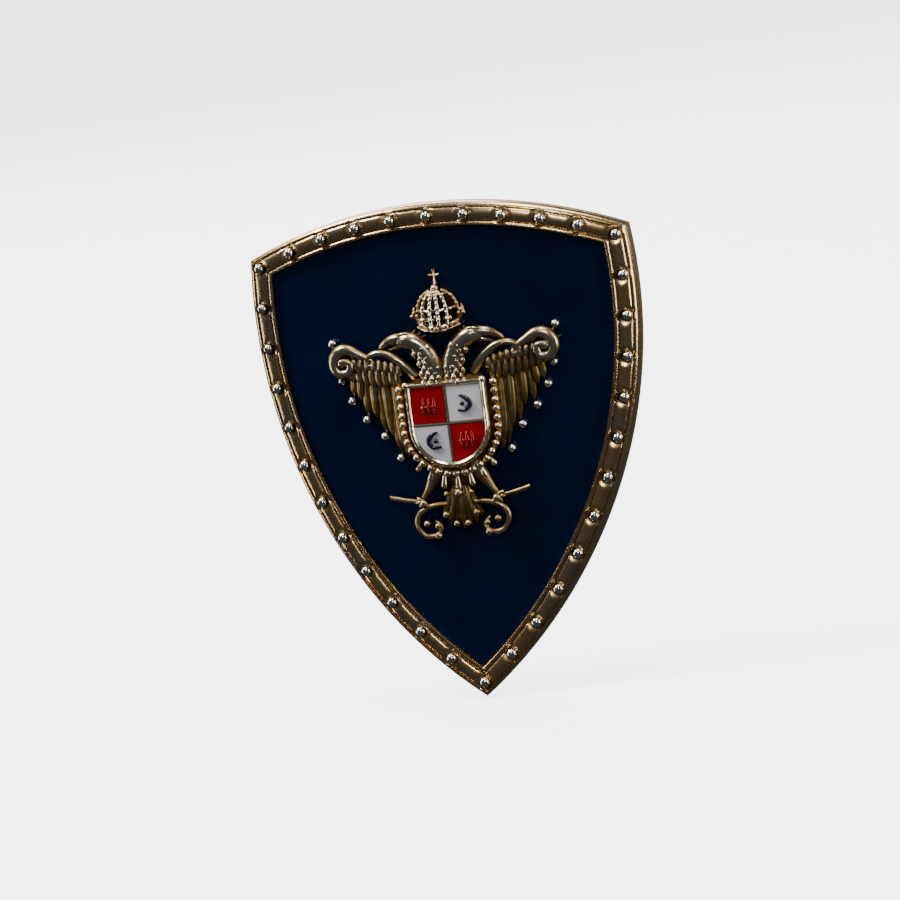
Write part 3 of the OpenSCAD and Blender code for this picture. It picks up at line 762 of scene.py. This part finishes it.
def threadOn(bm, crestRadius, rootRadius, low, high, pitch, steps):
    tooth = ((rootRadius, 0), (rootRadius, 0.1), (crestRadius, 0.44), (crestRadius, 0.56), (rootRadius, 0.9),
             (rootRadius, 1))
    verts = [bm.verts.new((r, 0, low + z * pitch)) for r, z in tooth]
    edges = [bm.edges.new(pair) for pair in zip(verts, verts[1:])]
    turns = int((high - low) / pitch) - 1
    bmesh.ops.spin(bm, geom=verts + edges, cent=(0, 0, 0), axis=(0, 0, 1), dvec=(0, 0, pitch / steps),
                   angle=2 * math.pi * turns, steps=steps * turns, use_duplicate=False, use_normal_flip=False,
                   use_merge=False)


def placeOnPost(bm, side):
    for v in bm.verts:
        v.co = standUp(Vector((v.co.x, v.co.y + side * post["spacing"] / 2, v.co.z)))


for name, side in (("upper", 1), ("lower", -1)):
    bm = bmesh.new()
    footTop = backFace - 0.05
    footLow = footTop - post["footThick"]
    shoulder, end = -post["length"], -post["length"] - post["tipLength"]
    turned(bm, [(0, footTop), (post["foot"] - 0.05, footTop), (post["foot"], footTop - 0.08),
                (post["foot"], footLow + 0.12), (post["foot"] - 0.12, footLow), (1.7, footLow),
                (1.45, footLow - 0.08), (post["root"], footLow - 0.3), (post["root"], shoulder + 0.02),
                (post["tip"], shoulder), (post["tip"], end + 0.3), (post["tip"] - 0.3, end), (0, end)])
    threadOn(bm, post["thread"], post["root"] - 0.03, shoulder + 0.1, footLow - 0.25, post["pitch"], post["steps"])
    placeOnPost(bm, side)
    finishPiece(name + "ThreadedPost", bm, "badge", finishes["postMetal"],
                [name + "_post"], bowed=False, smooth=35)

    bm = bmesh.new()
    turned(bm, [(r, washer["front"] + z) for r, z in washer["profile"]], 72)
    placeOnPost(bm, side)
    finishPiece(name + "PressureWasher", bm, name + "_washer", finishes["nutBrass"],
                [name + "_washer"], bowed=False, smooth=35)

    bm = bmesh.new()
    steps = nut["teeth"] * 4
    stations = []
    for r, z, cut in nut["profile"]:
        ring = [(r - (cut if k % 4 in (2, 3) else 0), 2 * math.pi * k / steps) for k in range(steps)]
        stations.append([Vector((q * math.cos(t), q * math.sin(t), nut["front"] + z)) for q, t in ring])
    loft(bm, stations, closed=True)
    placeOnPost(bm, side)
    finishPiece(name + "ThumbNut", bm, name + "_nut", finishes["nutBrass"],
                [name + "_nut"], bowed=False, smooth=32)
print("back done")

# floor, light and camera
floorBox = {"down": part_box("backing_plate")[0][2] - 0.0002, "size": 12.0, "glow": 3.6}
bm = bmesh.new()
bmesh.ops.create_grid(bm, x_segments=2, y_segments=2, size=floorBox["size"])
for v in bm.verts:
    v.co.z = floorBox["down"]
mesh = bpy.data.meshes.new("paleFloor")
bm.to_mesh(mesh)
bm.free()


def paleFloor(tree, spot):
    cloud = noise(tree, spot, 3, 2)
    colour = blendShade(tree, cloud, (0.86, 0.86, 0.86, 1), (0.90, 0.90, 0.89, 1))
    return node(tree, "ShaderNodeBsdfPrincipled", {}, {
        "Base Color": colour, "Roughness": 0.9, "Specular IOR Level": 0.1,
        "Emission Color": colour, "Emission Strength": floorBox["glow"]})


mesh.materials.append(finish("paleFloorPaint", paleFloor))
floor = bpy.data.objects.new("paleFloor", mesh)
bpy.context.scene.collection.objects.link(floor)
floor.visible_glossy = False
floor.visible_diffuse = False

world = bpy.data.worlds.new("studio")
bpy.context.scene.world = world
world.use_nodes = True
tree = world.node_tree
tree.nodes.clear()
path = node(tree, "ShaderNodeLightPath", {}, {}, "Is Camera Ray")
seen = node(tree, "ShaderNodeBackground", {}, {"Color": (0.97, 0.97, 0.97, 1), "Strength": 4.0})
felt = node(tree, "ShaderNodeBackground", {}, {"Color": (0.42, 0.52, 0.62, 1), "Strength": 0.10})
mixed = node(tree, "ShaderNodeMixShader", {}, {0: path, 1: felt, 2: seen})
tree.links.new(mixed.socket, tree.nodes.new("ShaderNodeOutputWorld").inputs["Surface"])

# place, width, height and power of each lamp; all look at the origin
lamps = {"key": (-0.34, -0.16, 0.46, 0.20, 0.20, 4.4), "right": (0.52, -0.10, 0.10, 0.08, 0.45, 1.8),
         "top": (0.10, -0.02, 0.62, 0.50, 0.12, 3.6), "left": (-0.55, -0.08, -0.02, 0.06, 0.40, 1.0),
         "front": (0.16, -0.62, 0.34, 0.07, 0.07, 1.2),
         "back": (-0.25, 0.50, 0.35, 0.35, 0.35, 3.2), "backRight": (0.50, 0.40, 0.20, 0.2, 0.4, 1.8)}
for name, (x, y, z, wide, high, power) in lamps.items():
    light = bpy.data.lights.new(name, "AREA")
    light.shape = "RECTANGLE"
    light.size, light.size_y, light.energy = wide, high, power
    lamp = bpy.data.objects.new(name, light)
    lamp.location = (x, y, z)
    lamp.rotation_euler = Vector((x, y, z)).to_track_quat("Z", "Y").to_euler()
    bpy.context.scene.collection.objects.link(lamp)

view = {"azimuth": 15.1, "elevation": 8.3, "roll": -7.3, "distance": 0.583, "lens": 231.4,
        "target": (0, -0.0015, -0.003), "across": -0.00138, "up": -0.00055}
a, e = math.radians(view["azimuth"]), math.radians(view["elevation"])
back = Vector((math.sin(a) * math.cos(e), -math.cos(a) * math.cos(e), math.sin(e)))
facing = back.to_track_quat("Z", "Y") @ Quaternion((0, 0, 1), math.radians(view["roll"]))
camera = bpy.data.cameras.new("camera")
camera.lens, camera.sensor_width = view["lens"], 36.0
eye = bpy.data.objects.new("camera", camera)
eye.rotation_euler = facing.to_euler()
eye.location = (Vector(view["target"]) + back * view["distance"]
                + facing @ Vector((view["across"], view["up"], 0)))
bpy.context.scene.collection.objects.link(eye)
bpy.context.scene.camera = eye

print("scene done")
